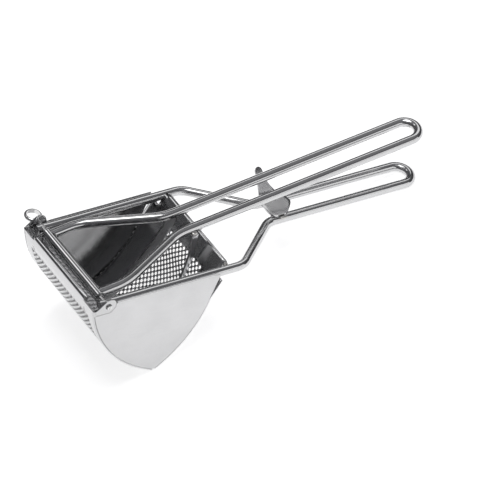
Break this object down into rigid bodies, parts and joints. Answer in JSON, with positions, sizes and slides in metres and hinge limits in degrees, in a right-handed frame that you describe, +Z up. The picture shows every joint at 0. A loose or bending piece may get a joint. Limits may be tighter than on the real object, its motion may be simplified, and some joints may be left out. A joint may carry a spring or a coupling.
{
  "type": "potato ricer",
  "caption": "Hand potato ricer: V-shaped perforated hopper in a bent rod frame with handle, and a hinged rod lever carrying a curved press plate.",
  "frame": {"origin": "centre of the bounding box at its bottom, with the tool standing on the hopper's lower edge and the end of the lower handle", "axes": "+X towards the handles, +Y towards the pull eye of the hinge pin, +Z up"},
  "size_m": [0.2954, 0.1134, 0.094],
  "materials": {
    "polished_rod": "polished stainless steel rod",
    "satin_plate": "satin stainless steel plate",
    "sieve_sheet": "smooth perforated stainless steel sheet",
    "press_sheet": "finely brushed stainless steel",
    "pin_wire": "drawn stainless steel wire"
  },
  "bodies": {
    "hopper": {"frame_handle_rod": "polished_rod", "side_plate_left": "satin_plate", "side_plate_right": "satin_plate", "front_sieve_wall": "sieve_sheet", "rear_sieve_wall": "sieve_sheet", "front_cross_rod": "polished_rod", "rear_cross_rod": "polished_rod", "pot_rest_plate": "satin_plate"},
    "lever": {"lever_handle_rod": "polished_rod", "hinge_sleeve": "polished_rod", "press_plate": "press_sheet", "press_strut_left": "press_sheet", "press_strut_right": "press_sheet"},
    "pin": {"hinge_pin": "pin_wire"}
  },
  "joints": [
    {"name": "lever_hinge", "type": "hinge", "parent": "hopper", "child": "lever", "pos_m": [-0.13509, -0.00629, 0.08741], "axis": [0, -1, 0], "range_deg": [0, 105]},
    {"name": "pin_slide", "type": "slide", "parent": "hopper", "child": "pin", "axis": [0, 1, 0], "range_m": [0, 0.11]}
  ]
}
